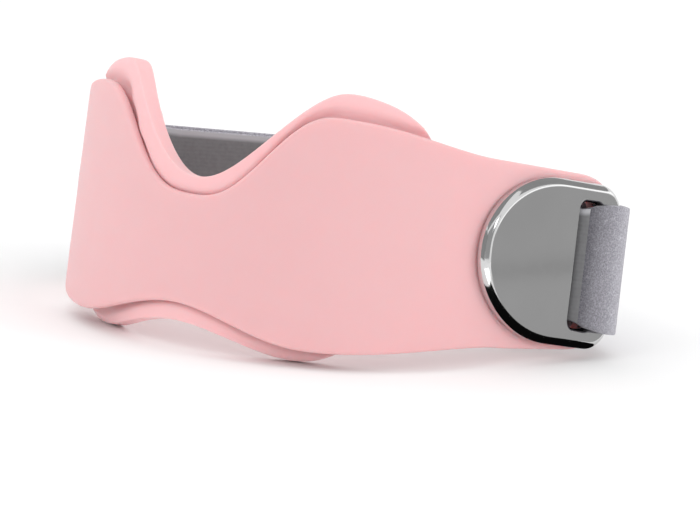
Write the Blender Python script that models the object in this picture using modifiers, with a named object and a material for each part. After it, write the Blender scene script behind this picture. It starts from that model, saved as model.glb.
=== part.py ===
"""Patellar strap: a silicone band and cushion across the front of the knee, two
metal D plates on the band's ends, and a webbing strap that closes the loop behind.

Every piece is drawn as a flat pattern first: x runs along the strap, y is up and
z points away from the leg. It is then wrapped round the plan of the loop."""
import math

import bmesh
import bpy
from mathutils import Matrix, Vector

MM = 0.001

# Clearance
GAP = 0.3 * MM                          # between two pieces that touch on the real strap

# Plan of the loop, seen from above
FRONT_RADIUS = 57.5 * MM                # bend of the cushion's outer face round the knee
RIGHT_TURN = math.radians(78)           # turn from the middle of the front to a straight side
LEFT_TURN = math.radians(56)            # the left side turns less far, then has a tighter bend
TIGHT_RADIUS = 44 * MM
TIGHT_TURN = math.radians(19)
RIGHT_LEAN = 0.07                       # how far a side leans in for each unit of height
LEFT_LEAN = -0.05                       # below 0, it leans out
LEAN_BEGINS = 15 * MM                   # along the strap, where the lean starts to grow
LEAN_FULL = 70 * MM                     # along the strap, where the lean is complete
BACK_RADIUS = 62 * MM                   # bend of the strap behind the knee
BACK_REACH = 36 * MM                    # from the band's ends back to the middle of the strap

# Outer band
BAND_THICK = 2.4 * MM
BAND_EDGE = 0.7 * MM                    # rounding of its rim
BAND_HALF = 121.0 * MM                  # from the middle to one end
BAND_NOTCH = 1.6 * MM                   # height of the notch's floor
BAND_NOTCH_FLAT = 1.0 * MM              # half width of that floor
BAND_LOBE_UP = 25.2 * MM                # height of the two upper lobes
BAND_RISE_RIGHT = 33 * MM               # along the strap, where the upper lobe's top begins
BAND_RISE_LEFT = 40 * MM                # the left lobe is narrower
BAND_LOBE_FALL = 38 * MM                # and where it ends
BAND_WAIST = 75 * MM                    # along the strap, where the upper edge is level again
BAND_MIDDLE_DOWN = 24.4 * MM            # depth below the kneecap, at the middle
BAND_LOBE_DOWN = 30.5 * MM              # depth of the two lower lobes
BAND_LOBE_DOWN_AT = 31 * MM
BAND_WAIST_DOWN = 22.7 * MM             # depth where the lower edge levels out, before the plate
BAND_WAIST_DOWN_AT = 85 * MM
BAND_MARGIN_UP = 1.75 * MM              # band that shows above a plate
BAND_MARGIN_DOWN = 0.8 * MM             # and below it, at the end
BAND_END_MARGIN = 0.3 * MM              # band that shows past a plate's straight side
BAND_CORNER_LONG = 11.5 * MM            # rounded corners of the band's ends
BAND_CORNER_HIGH = 9.0 * MM

# Inner pad
PAD_THICK = 3.0 * MM
PAD_EDGE = 1.2 * MM
PAD_HALF = 63 * MM
PAD_PAST_NOTCH = 4.2 * MM               # pad that shows past the band, in the notch
PAD_PAST_LOBE = 6.1 * MM                # at the upper lobes
PAD_PAST_MIDDLE = 4.3 * MM              # at the lower middle
PAD_PAST_LOW = 2.9 * MM                 # at the lower lobes
PAD_RISE_RIGHT = 34 * MM
PAD_RISE_LEFT = 35.2 * MM
PAD_LOBE_FALL = 38 * MM
PAD_LOW_AT = 30 * MM
PAD_TIP = 11.3 * MM                     # height of the pad's rounded ends
PAD_TIP_CUT = math.radians(80)          # how far round its ends the outline is drawn
PAD_CURL_UP = 3.0 * MM                  # how far the upper lobes curl in towards the leg
PAD_CURL_UP_FROM = 8 * MM               # height where the curl begins
PAD_CURL_DOWN = 5.7 * MM                # and the lower ones
PAD_CURL_DOWN_FROM = 12 * MM            # depth below the middle where it begins
PAD_CURL_MIDDLE = 0.35                  # share of the lower curl that the middle has
PAD_CURL_AT = 34 * MM                   # along the strap, where the curl is complete

# Buckle plates
PLATE_LENGTH = 50.2 * MM
PLATE_HALF = 20.2 * MM                  # half of its height
PLATE_NOSE = 28.0 * MM                  # length of the round side, half an ellipse
PLATE_CORNER = 8.0 * MM                 # radius of the corners at the straight side
PLATE_THICK = 3.0 * MM
PLATE_RIM = 2.2 * MM                    # rounding of the outer rim
PLATE_BAR = 8.7 * MM                    # width of the bar at the straight side
SLOT_WIDTH = 8.0 * MM
SLOT_ROOM = 1.85 * MM                   # between the drawn-in strap's edge and the slot's end
SLOT_CORNER = 2.0 * MM
BAND_SLOT_ROOM = 0.6 * MM               # how much larger the band's slot is

# Buckle rivets
RIVET_SHANK = 2.4 * MM
RIVET_HEAD = 5.0 * MM
RIVET_HEAD_THICK = 1.2 * MM
RIVET_IN = 19.5 * MM                    # from the tip of the plate's round side

# Strap and its hook tab
STRAP_WIDTH = 31.5 * MM
STRAP_THICK = 1.6 * MM
STRAP_EDGE = 0.5 * MM
STRAP_INNER_BEND = 8 * MM               # bend where it leaves the bar, on the leg's side
STRAP_INNER_BEND_BACK = 6.5 * MM        # where that bend sits, in from the band's end
STRAP_CROWN = 0.8 * MM                  # how far it bulges over the bar
STRAP_CROWN_BEND = 10 * MM              # radius of that bulge
STRAP_CROWN_AT = 3.4 * MM               # its middle, from the slot's edge
STRAP_PINCH = 2.2 * MM                  # how far each edge draws in where it passes a slot
STRAP_PINCH_LONG = 9 * MM               # how far from the slot the edges are straight again
STRAP_RISE = 1.1 * MM                   # how much higher it runs behind the knee
STRAP_RISE_LONG = 12 * MM               # how far back from the bars it takes to rise
STRAP_RISE_LEFT = 1.5 * MM              # how much more it rises towards the left
STRAP_RISE_LEFT_AT = 50 * MM            # from the middle, where that rise is complete
FREE_END = 42 * MM                      # length laid back on the strap, right side
ENDS_APART = 9 * MM                     # from the free end to the sewn end behind the knee
SEWN_RISE = 1.4 * MM                    # how much higher the sewn layer sits
SEWN_RISE_LONG = 14 * MM                # length over which it rises
TAB_LENGTH = 30 * MM
TAB_THICK = 1.0 * MM
TAB_EDGE = 0.2 * MM
TAB_INSET = 1.5 * MM                    # from the strap's edges and from its free end

# Fineness of the faceted shapes
COLUMN = 4.6 * MM                       # longest step along the band and the pad
CORNER_STEPS = 4
ROWS = 6                                # faces across the band and the pad
STRAP_ROWS = 2                          # faces across the strap and its tab
RIM_STEPS = 2
PLATE_RIM_STEPS = 4
ROUND_STEPS = 20                        # sides of a rivet and of its hole
ARC_STEP = math.radians(20)             # step round small bends
NOSE_STEP = math.radians(10)            # step round a plate's round side
BACK_STEP = math.radians(5)             # step round the back of the strap
SAME_PLACE = 0.01 * MM                  # points nearer than this are one point
CUT_REACH = 10 * MM                     # how far the cutters reach in and out
SHARP_RIM = math.radians(50)            # edges that turn more than this get a rounded rim
SHARP_SHADE = math.radians(35)          # and those that turn more than this look sharp

# Levels away from the leg, worked out from the thicknesses
PLATE_IN = BAND_THICK + GAP
PLATE_OUT = PLATE_IN + PLATE_THICK
STRAP_IN = -(GAP + STRAP_THICK / 2)
STRAP_OUT = PLATE_OUT + GAP + STRAP_THICK / 2

# Places along the strap
PLATE_END = BAND_HALF - BAND_END_MARGIN
SLOT_END = PLATE_END - PLATE_BAR
SLOT_START = SLOT_END - SLOT_WIDTH
NOSE_AT = PLATE_END - PLATE_LENGTH + PLATE_NOSE
RIVET_AT = PLATE_END - PLATE_LENGTH + RIVET_IN

# Heights
SIDE_UP = PLATE_HALF + BAND_MARGIN_UP
SIDE_DOWN = PLATE_HALF + BAND_MARGIN_DOWN
SLOT_HALF = STRAP_WIDTH / 2 - STRAP_PINCH + SLOT_ROOM

# Bends and lean of each side, right (1) and left (-1)
BENDS = {
    1: [(FRONT_RADIUS, RIGHT_TURN)],
    -1: [(FRONT_RADIUS, LEFT_TURN), (TIGHT_RADIUS, TIGHT_TURN)],
}
LEANS = {1: RIGHT_LEAN, -1: LEFT_LEAN}
BAND_RISES = {1: BAND_RISE_RIGHT, -1: BAND_RISE_LEFT}
PAD_RISES = {1: PAD_RISE_RIGHT, -1: PAD_RISE_LEFT}

COLLECTION = "patellar_strap"


def share(value, low, high):
    """Where value lies between low and high, from 0 to 1."""
    return min(1.0, max(0.0, (value - low) / (high - low)))


def ease(t):
    return t * t * (3 - 2 * t)


def steep_ease(t):
    return t ** 3 * (t * (6 * t - 15) + 10)


def blend(a, b, t):
    return a + (b - a) * t


def round_off(t):
    """A quarter circle that falls from 1 at t = 0 to 0 at t = 1."""
    return math.sqrt(max(0.0, 1 - t * t))


def side_of(s):
    return 1 if s > 0 else -1


# Outlines of the band and the pad: heights at a place along the strap

def band_end(s):
    """Share of the corner's height that is left near the band's end."""
    return round_off(share(abs(s), BAND_HALF - BAND_CORNER_LONG, BAND_HALF))


def band_top(s):
    rise = steep_ease(share(abs(s), BAND_NOTCH_FLAT, BAND_RISES[side_of(s)]))
    fall = ease(share(abs(s), BAND_LOBE_FALL, BAND_WAIST))
    height = blend(blend(BAND_NOTCH, BAND_LOBE_UP, rise), SIDE_UP, fall)
    return height - BAND_CORNER_HIGH * (1 - band_end(s))


def band_bottom(s):
    drop = ease(share(abs(s), 0, BAND_LOBE_DOWN_AT))
    rise = ease(share(abs(s), BAND_LOBE_DOWN_AT, BAND_WAIST_DOWN_AT))
    slope = share(abs(s), BAND_WAIST_DOWN_AT, BAND_HALF - BAND_CORNER_LONG)
    depth = blend(blend(BAND_MIDDLE_DOWN, BAND_LOBE_DOWN, drop), BAND_WAIST_DOWN, rise)
    depth = blend(depth, SIDE_DOWN, slope)
    return BAND_CORNER_HIGH * (1 - band_end(s)) - depth


PAD_LOBE_UP = BAND_LOBE_UP + PAD_PAST_LOBE
PAD_LOBE_DOWN = BAND_LOBE_DOWN + PAD_PAST_LOW


def pad_top(s):
    rise = ease(share(abs(s), BAND_NOTCH_FLAT, PAD_RISES[side_of(s)]))
    height = blend(BAND_NOTCH + PAD_PAST_NOTCH, PAD_LOBE_UP, rise)
    return blend(PAD_TIP, height, round_off(share(abs(s), PAD_LOBE_FALL, PAD_HALF)))


def pad_bottom(s):
    drop = ease(share(abs(s), 0, PAD_LOW_AT))
    depth = blend(BAND_MIDDLE_DOWN + PAD_PAST_MIDDLE, PAD_LOBE_DOWN, drop)
    return blend(PAD_TIP, -depth, round_off(share(abs(s), PAD_LOW_AT, PAD_HALF)))


def pad_curl(s, height):
    """How far the pad stands in from the band, more towards the tips of its lobes."""
    side = ease(share(abs(s), 0, PAD_CURL_AT))
    up = share(height, PAD_CURL_UP_FROM, PAD_LOBE_UP) ** 2
    down = share(-height, PAD_CURL_DOWN_FROM, PAD_LOBE_DOWN) ** 2
    low = blend(PAD_CURL_MIDDLE, 1, side)
    return PAD_CURL_UP * side * up + PAD_CURL_DOWN * low * down


# Places round the loop

def plan(side, along):
    """Where a side's bends lead at a length along it: x, y and heading, as on the right."""
    x, y, heading = 0.0, -FRONT_RADIUS, 0.0
    for radius, turn in BENDS[side]:
        bend = min(along / radius, turn)
        x += radius * (math.sin(heading + bend) - math.sin(heading))
        y += radius * (math.cos(heading) - math.cos(heading + bend))
        heading += bend
        along -= radius * bend
    return x + along * math.cos(heading), y + along * math.sin(heading), heading


def round_front(s, height, out):
    """The point at s along the strap, at a height and a distance out from the leg."""
    side = side_of(s)
    x, y, heading = plan(side, abs(s))
    reach = out - LEANS[side] * ease(share(abs(s), LEAN_BEGINS, LEAN_FULL)) * height
    return Vector((side * (x + reach * math.sin(heading)), y - reach * math.cos(heading),
                   height))


def on_side(s, height, out):
    """The same, on a flat side: the right one for s above 0, or else the left one."""
    side = side_of(s)
    x, y, heading = plan(side, BAND_HALF)
    back = abs(s) - BAND_HALF
    reach = out - LEANS[side] * height
    x += back * math.cos(heading) + reach * math.sin(heading)
    y += back * math.sin(heading) - reach * math.cos(heading)
    return Vector((side * x, y, height))


def belt(circles, lead=0.0, trail=0.0, closed=False):
    """Stations (x, y, heading) of a belt that runs round circles.

    A circle is (x, y, radius, step), with a radius above 0 where the belt turns left
    and below 0 where it turns right. The step is the angle between two stations.
    lead and trail are lengths on the first and the last circle of an open belt."""
    count = len(circles)
    links = []
    for i in range(count if closed else count - 1):
        x0, y0, r0, _ = circles[i]
        x1, y1, r1, _ = circles[(i + 1) % count]
        distance = math.hypot(x1 - x0, y1 - y0)
        links.append(math.atan2(y1 - y0, x1 - x0) - math.asin((r1 - r0) / distance))
    stations = []
    for i, (x, y, radius, step) in enumerate(circles):
        side = 1 if radius > 0 else -1
        leave = links[i] if closed or i < count - 1 else links[i - 1] + trail / radius
        arrive = links[i - 1] if closed or i else links[0] - lead / radius
        turn = (side * (leave - arrive)) % math.tau
        turn = 0.0 if turn > math.tau - 1e-6 else turn
        steps = max(1, math.ceil(turn / step))
        for k in range(steps + 1):
            heading = arrive + side * turn * k / steps
            point = (x + radius * math.sin(heading), y - radius * math.cos(heading), heading)
            stations.append(point)
    return stations


# The strap's route

def strap_circles():
    """The circles that the strap runs round, from its free end to its sewn end."""
    back_x = (on_side(BAND_HALF, 0, 0).x + on_side(-BAND_HALF, 0, 0).x) / 2
    back_y = on_side(BAND_HALF, 0, 0).y + BACK_REACH - BACK_RADIUS
    slot_bend = (STRAP_OUT - STRAP_IN) / 2
    crown_level = STRAP_OUT + STRAP_CROWN - STRAP_CROWN_BEND
    bends = [
        (SLOT_END + STRAP_CROWN_AT, crown_level, -STRAP_CROWN_BEND),
        (SLOT_START + GAP + STRAP_THICK / 2 + slot_bend, STRAP_IN + slot_bend, -slot_bend),
        (BAND_HALF - STRAP_INNER_BEND_BACK, STRAP_IN - STRAP_INNER_BEND, STRAP_INNER_BEND),
    ]

    def round_buckle(side):
        places = [(on_side(side * s, 0, out), radius) for s, out, radius in bends]
        return [(place.x, place.y, radius, ARC_STEP) for place, radius in places]

    def round_back(radius):
        return [(back_x, back_y, radius, BACK_STEP)]

    free_layer = BACK_RADIUS + STRAP_THICK + TAB_THICK + 2 * GAP
    sewn_layer = BACK_RADIUS + STRAP_THICK + GAP
    return (round_back(-free_layer) + round_buckle(1) + round_back(BACK_RADIUS)
            + round_buckle(-1)[::-1] + round_back(-sewn_layer))


def leaning(x, y, height):
    """How far the strap is moved from upright: the lean of the sides, and its rise."""
    side = side_of(x)
    edge, bar_y, heading = plan(side, BAND_HALF)
    high = STRAP_RISE + STRAP_RISE_LEFT * share(-x, 0, STRAP_RISE_LEFT_AT)
    rise = high * ease(share(y, bar_y, bar_y + STRAP_RISE_LONG))
    t = min(1.0, abs(x) / edge)
    angle = blend(math.pi / 2, heading - math.pi / 2, t)
    way = Vector((side * math.cos(angle), math.sin(angle), 0))
    return Vector((0, 0, rise)) - way * LEANS[side] * ease(t) * height


def pinched(x, y, height):
    """The height on the strap, with its edges drawn in near a slot."""
    slot = on_side(side_of(x) * SLOT_START, 0, (PLATE_IN + PLATE_OUT) / 2)
    near = 1 - share(math.hypot(x - slot.x, y - slot.y), 0, STRAP_PINCH_LONG)
    return height * (1 - STRAP_PINCH / (STRAP_WIDTH / 2) * ease(near))


class Route:
    """A line of stations that a flat pattern is laid along, and its lift on the way."""

    def __init__(self, stations, lift=lambda along: 0.0):
        self.rows = []
        self.lift = lift
        travelled = 0.0
        for x, y, heading in stations:
            if self.rows:
                _, x0, y0, _ = self.rows[-1]
                move = math.hypot(x - x0, y - y0)
                if move < SAME_PLACE:
                    continue
                travelled += move
            self.rows.append((travelled, x, y, heading))
        self.length = travelled

    def lay(self, along, height, out):
        """The point at a length along the route, out to the right of its heading."""
        rows = self.rows
        i = 1
        while i < len(rows) - 1 and rows[i][0] < along:
            i += 1
        s0, x0, y0, h0 = rows[i - 1]
        s1, x1, y1, h1 = rows[i]
        t = (along - s0) / (s1 - s0)
        x, y, heading = blend(x0, x1, t), blend(y0, y1, t), blend(h0, h1, t)
        high = pinched(x, y, height) + self.lift(along)
        upright = Vector((x + out * math.sin(heading), y - out * math.cos(heading), high))
        return upright + leaning(x, y, high)


# Making pieces

def add_collections():
    for old in list(bpy.data.objects):
        bpy.data.objects.remove(old, do_unlink=True)
    for name in (COLLECTION, "cutters"):
        group = bpy.data.collections.new(name)
        bpy.context.scene.collection.children.link(group)


def add_object(name, mesh, collection=COLLECTION):
    piece = bpy.data.objects.new(name, mesh)
    bpy.data.collections[collection].objects.link(piece)
    return piece


def add_bmesh(name, bm, collection=COLLECTION):
    mesh = bpy.data.meshes.new(name)
    bm.to_mesh(mesh)
    bm.free()
    return add_object(name, mesh, collection)


def apply_modifiers(piece):
    """Replace a piece's mesh by the one that its modifiers make."""
    graph = bpy.context.evaluated_depsgraph_get()
    mesh = bpy.data.meshes.new_from_object(piece.evaluated_get(graph))
    piece.modifiers.clear()
    piece.data = mesh


def wrap(piece, place):
    """Move each point of a flat pattern to its place round the loop."""
    for vertex in piece.data.vertices:
        vertex.co = place(*vertex.co)
    piece.data.update()


def smooth(piece):
    piece.data.shade_smooth()
    piece.data.set_sharp_from_angle(angle=SHARP_SHADE)


def finish(piece, colour, roughness, metallic=0.0):
    material = bpy.data.materials.new(piece.name)
    material.use_nodes = True
    shader = material.node_tree.nodes["Principled BSDF"]
    shader.inputs["Base Color"].default_value = (*colour, 1)
    shader.inputs["Roughness"].default_value = roughness
    shader.inputs["Metallic"].default_value = metallic
    material.diffuse_color = (*colour, 1)
    piece.data.materials.clear()
    piece.data.materials.append(material)


def sheet_grid(name, columns, bottom, top, rows=ROWS):
    """A flat sheet in columns, between a bottom and a top outline."""
    bm = bmesh.new()
    bmesh.ops.create_grid(bm, x_segments=len(columns) - 1, y_segments=rows, size=1.0)
    for vertex in bm.verts:
        column = round((vertex.co.x + 1) / 2 * (len(columns) - 1))
        s = columns[column]
        vertex.co.y = blend(bottom(s), top(s), (vertex.co.y + 1) / 2)
        vertex.co.x = s
    return add_bmesh(name, bm)


def thicken(piece, thick, edge):
    """Give a sheet its thickness, outwards, and a rounded rim."""
    wall = piece.modifiers.new("wall", "SOLIDIFY")
    wall.thickness = thick
    wall.offset = 1.0
    rim = piece.modifiers.new("rim", "BEVEL")
    rim.width = edge
    rim.segments = RIM_STEPS
    rim.limit_method = "ANGLE"
    rim.angle_limit = SHARP_RIM


def both_sides(columns):
    """The same columns on the left, in order."""
    return [-s for s in reversed(columns) if s > 0] + columns


def even_steps(start, end):
    count = max(1, math.ceil((end - start) / COLUMN))
    return [blend(start, end, k / count) for k in range(count + 1)]


def outline_prism(name, outline, low, high, collection=COLLECTION):
    """A flat outline given a thickness, from level low to level high."""
    bm = bmesh.new()
    corners = [bm.verts.new((x, y, low)) for x, y in outline]
    edges = [bm.edges.new((corners[i - 1], corners[i])) for i in range(len(corners))]
    face = bmesh.ops.contextual_create(bm, geom=edges)["faces"][0]
    grown = bmesh.ops.extrude_face_region(bm, geom=[face])["geom"]
    raised = [item for item in grown if isinstance(item, bmesh.types.BMVert)]
    bmesh.ops.translate(bm, verts=raised, vec=(0, 0, high - low))
    bmesh.ops.recalc_face_normals(bm, faces=bm.faces)
    return add_bmesh(name, bm, collection)


def belt_outline(circles):
    points = []
    for x, y, _ in belt(circles, closed=True):
        if not points or math.hypot(x - points[-1][0], y - points[-1][1]) > SAME_PLACE:
            points.append((x, y))
    return points


def cut(piece, cutter):
    cutter.hide_render = True
    cutter.display_type = "WIRE"
    hole = piece.modifiers.new(cutter.name, "BOOLEAN")
    hole.operation = "DIFFERENCE"
    hole.solver = "EXACT"
    hole.object = cutter


# The pieces

def slot_outline(grow):
    """The slot, larger by grow on every side."""
    corner = SLOT_CORNER
    right, left = SLOT_END - corner, SLOT_START + corner
    high = SLOT_HALF - corner
    places = [(right, -high), (right, high), (left, high), (left, -high)]
    return belt_outline([(x, y, corner + grow, ARC_STEP) for x, y in places])


def slot_cutter(name, grow, side):
    outline = [(side * x, y) for x, y in slot_outline(grow)]
    return outline_prism(name, outline, -CUT_REACH, CUT_REACH, "cutters")


def rivet_cutter(name, side):
    bm = bmesh.new()
    bmesh.ops.create_cone(bm, cap_ends=True, segments=ROUND_STEPS,
                          radius1=RIVET_SHANK + GAP, radius2=RIVET_SHANK + GAP,
                          depth=2 * CUT_REACH,
                          matrix=Matrix.Translation((side * RIVET_AT, 0, 0)))
    return add_bmesh(name, bm, "cutters")


def make_outer_band():
    corner_at = BAND_HALF - BAND_CORNER_LONG
    quarter = [k / CORNER_STEPS * math.pi / 2 for k in range(1, CORNER_STEPS + 1)]
    corner = [corner_at + BAND_CORNER_LONG * math.sin(angle) for angle in quarter]
    columns = both_sides(even_steps(0, corner_at) + corner)
    band = sheet_grid("outer_band", columns, band_bottom, band_top)
    thicken(band, BAND_THICK, BAND_EDGE)
    for name, side in (("right", 1), ("left", -1)):
        cut(band, slot_cutter("band_slot_" + name, BAND_SLOT_ROOM, side))
        cut(band, rivet_cutter("band_hole_" + name, side))
    apply_modifiers(band)
    wrap(band, round_front)
    smooth(band)
    finish(band, (0.93, 0.56, 0.57), 0.5)
    return band


def make_inner_pad():
    long = PAD_HALF - PAD_LOBE_FALL
    angles = [k / CORNER_STEPS * PAD_TIP_CUT for k in range(1, CORNER_STEPS + 1)]
    tip = [PAD_LOBE_FALL + long * math.sin(angle) for angle in angles]
    columns = both_sides(even_steps(0, PAD_LOBE_FALL) + tip)
    pad = sheet_grid("inner_pad", columns, pad_bottom, pad_top)
    thicken(pad, PAD_THICK, PAD_EDGE)
    apply_modifiers(pad)

    def place(s, height, out):
        return round_front(s, height, out - PAD_THICK - GAP - pad_curl(s, height))

    wrap(pad, place)
    smooth(pad)
    finish(pad, (0.92, 0.52, 0.53), 0.5)
    return pad


def make_buckle_plate(name, side):
    """A D plate: its round side starts as half a circle and is drawn out lengthwise."""
    corner_x = PLATE_END - PLATE_CORNER
    corner_y = PLATE_HALF - PLATE_CORNER
    circles = [(corner_x, -corner_y, PLATE_CORNER, ARC_STEP),
               (corner_x, corner_y, PLATE_CORNER, ARC_STEP),
               (NOSE_AT, 0.0, PLATE_HALF, NOSE_STEP)]
    outline = []
    for x, y in belt_outline(circles):
        past = min(0.0, x - NOSE_AT)
        outline.append((side * (x + past * (PLATE_NOSE / PLATE_HALF - 1)), y))
    plate = outline_prism(name, outline, PLATE_IN, PLATE_OUT)
    bm = bmesh.new()
    bm.from_mesh(plate.data)
    rim = [e for e in bm.edges if min(v.co.z for v in e.verts) > PLATE_OUT - SAME_PLACE]
    bmesh.ops.bevel(bm, geom=rim, offset=PLATE_RIM, segments=PLATE_RIM_STEPS, profile=0.5,
                    affect="EDGES")
    bm.to_mesh(plate.data)
    bm.free()
    cut(plate, slot_cutter(name + "_slot", 0.0, side))
    apply_modifiers(plate)
    wrap(plate, on_side)
    smooth(plate)
    finish(plate, (0.62, 0.62, 0.61), 0.12, 1.0)
    return plate


def make_buckle_rivet(name, side):
    """A turned rivet: its head lies on the band's inner face, its shank under the plate."""
    head_in = -GAP - RIVET_HEAD_THICK
    shank_out = PLATE_IN - GAP
    profile = [(0, shank_out), (RIVET_SHANK, shank_out), (RIVET_SHANK, -GAP),
               (RIVET_HEAD, -GAP), (RIVET_HEAD, head_in), (0, head_in)]
    bm = bmesh.new()
    points = [bm.verts.new((x, 0, z)) for x, z in profile]
    for a, b in zip(points, points[1:]):
        bm.edges.new((a, b))
    rivet = add_bmesh(name, bm)
    turn = rivet.modifiers.new("turn", "SCREW")
    turn.steps = turn.render_steps = ROUND_STEPS
    turn.use_merge_vertices = True
    turn.merge_threshold = SAME_PLACE
    apply_modifiers(rivet)
    wrap(rivet, lambda x, y, z: on_side(side * RIVET_AT + x, y, z))
    smooth(rivet)
    finish(rivet, (0.5, 0.5, 0.5), 0.35, 1.0)
    return rivet


def free_heading():
    """Heading of the strap where its free end starts."""
    return belt(strap_circles()[:2], lead=FREE_END)[0][2]


def sewn_length():
    """Length sewn back on the strap, left side, which stops short of the free end."""
    last_circles = strap_circles()[-2:]
    tangent = belt(last_circles)[-1][2]
    turn = (tangent - free_heading()) % math.tau
    return turn * -last_circles[-1][2] - ENDS_APART


def make_strap():
    stations = belt(strap_circles(), lead=FREE_END, trail=sewn_length())
    sewn_from = Route(stations).length - sewn_length() - SEWN_RISE_LONG

    def lift(along):
        return SEWN_RISE * ease(share(along, sewn_from, sewn_from + SEWN_RISE_LONG))

    route = Route(stations, lift)
    columns = [row[0] for row in route.rows]
    half = STRAP_WIDTH / 2
    strap = sheet_grid("strap", columns, lambda s: -half, lambda s: half, STRAP_ROWS)
    thicken(strap, STRAP_THICK, STRAP_EDGE)
    apply_modifiers(strap)
    wrap(strap, lambda s, height, out: route.lay(s, height, out - STRAP_THICK / 2))
    smooth(strap)
    finish(strap, (0.33, 0.32, 0.35), 0.9)
    return strap


def make_hook_tab():
    """The hook patch between the strap and its free end."""
    x, y, _, _ = strap_circles()[0]
    radius = -(BACK_RADIUS + STRAP_THICK / 2 + GAP + TAB_THICK / 2)
    first = free_heading() + TAB_INSET / radius
    last = first + TAB_LENGTH / radius
    steps = math.ceil((first - last) / BACK_STEP)
    headings = [blend(first, last, k / steps) for k in range(steps + 1)]
    arc = [(x + radius * math.sin(h), y - radius * math.cos(h), h) for h in headings]
    route = Route(arc)
    half = STRAP_WIDTH / 2 - TAB_INSET
    columns = [row[0] for row in route.rows]
    tab = sheet_grid("hook_tab", columns, lambda s: -half, lambda s: half, STRAP_ROWS)
    thicken(tab, TAB_THICK, TAB_EDGE)
    apply_modifiers(tab)
    wrap(tab, lambda s, height, out: route.lay(s, height, out - TAB_THICK / 2))
    smooth(tab)
    finish(tab, (0.12, 0.12, 0.13), 0.8)
    return tab


# Standing it on the ground

def ground_line(points):
    """The lowest hull edge under the middle of the loop, as two (y, z) points."""
    hull = []
    for point in sorted(points):
        while len(hull) > 1:
            (y0, z0), (y1, z1) = hull[-2], hull[-1]
            if (y1 - y0) * (point[1] - z0) - (z1 - z0) * (point[0] - y0) > 0:
                break
            hull.pop()
        hull.append(point)
    for a, b in zip(hull, hull[1:]):
        if a[0] <= 0 <= b[0]:
            return a, b
    return hull[0], hull[-1]


def stand(pieces):
    """Hang the pieces on an empty and lay the loop on the ground, as it rests by itself."""
    corners = [vertex.co for piece in pieces for vertex in piece.data.vertices]
    (y0, z0), (y1, z1) = ground_line([(round(c.y, 6), round(c.z, 6)) for c in corners])
    turn = Matrix.Rotation(-math.atan2(z1 - z0, y1 - y0), 4, "X")
    turned = [turn @ corner for corner in corners]
    low = [min(c[i] for c in turned) for i in range(3)]
    high = [max(c[i] for c in turned) for i in range(3)]
    middle = Vector(((low[0] + high[0]) / 2, (low[1] + high[1]) / 2, low[2]))
    holder = add_object("loop_on_the_ground", None)
    holder.matrix_world = Matrix.Translation(-middle) @ turn
    for piece in pieces:
        piece.parent = holder


def main():
    add_collections()
    pieces = [make_outer_band(), make_inner_pad(), make_strap(), make_hook_tab()]
    for name, side in (("right", 1), ("left", -1)):
        pieces.append(make_buckle_plate("buckle_plate_" + name, side))
        pieces.append(make_buckle_rivet("buckle_rivet_" + name, side))
    stand(pieces)


main()
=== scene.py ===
# %% [markdown]
# # A knee strap, piece by piece
# The object is a strap that is worn just under the kneecap. A soft pink band with a
# notch crosses the front, a larger cushion sits behind it, a metal plate is fixed on
# each end of the band, and a grey webbing strap closes the loop behind the knee.
# The measured solids are loaded first. Each visible piece is then modelled again with
# smoother curves, in the same place, and gets its finish.

# %% Load the measured frame
import math

import bmesh
import bpy
from mathutils import Matrix, Vector


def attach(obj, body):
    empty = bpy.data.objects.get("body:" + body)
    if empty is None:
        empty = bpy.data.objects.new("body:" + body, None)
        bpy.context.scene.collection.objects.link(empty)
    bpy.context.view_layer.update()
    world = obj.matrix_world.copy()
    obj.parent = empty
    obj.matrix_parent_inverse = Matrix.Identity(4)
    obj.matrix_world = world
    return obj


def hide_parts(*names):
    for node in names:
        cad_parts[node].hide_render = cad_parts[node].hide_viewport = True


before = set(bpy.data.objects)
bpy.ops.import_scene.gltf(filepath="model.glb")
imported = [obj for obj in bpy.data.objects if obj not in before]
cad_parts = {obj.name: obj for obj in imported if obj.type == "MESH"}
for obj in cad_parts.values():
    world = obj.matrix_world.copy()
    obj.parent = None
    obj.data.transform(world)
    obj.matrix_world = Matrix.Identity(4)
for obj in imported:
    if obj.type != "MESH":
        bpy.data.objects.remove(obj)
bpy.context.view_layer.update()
print("nodes:", ", ".join(sorted(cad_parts)))

# %% [markdown]
# ## The loop's own frame
# The strap stands on the lower lobes of its cushion and on the webbing behind, so it
# leans back a little. It is easier to model the loop upright, round an axis through the
# middle of its front bend, and to tip it at the end. LOOP is that last move.

# %% Upright loop to floor
MM = 0.001
GAP = 0.3 * MM
LOOP_TIP = math.radians(-9.538865)
LOOP_SHIFT = Vector((0.491, -4.263, 25.9285)) * MM
LOOP = Matrix.Translation(LOOP_SHIFT) @ Matrix.Rotation(LOOP_TIP, 4, "X")
print("the loop leans by", round(-math.degrees(LOOP_TIP), 1), "degrees")

# %% [markdown]
# ## The camera
# The picture was taken from the front right with a long lens, from about the height of
# the band. A long lens keeps the far side of the loop almost as large as the near side.
# The camera is aimed in the loop's own frame and then tipped with it. A small lens shift
# puts the object left of the middle, as in the picture.

# %% Place the camera
TURN_TO_RIGHT = math.radians(30.76)
LOOK_DOWN = math.radians(1.06)
ROLL = math.radians(9.82)
DISTANCE = 1072.35 * MM
TARGET = Vector((0, -1.8, 0)) * MM
FOCAL_PIXELS = 4320.6
WIDTH_PIXELS = 700
SENSOR_WIDTH = 36
SHIFT_X, SHIFT_Y = 0.0526, -0.0645
FAR_END = 20

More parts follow.
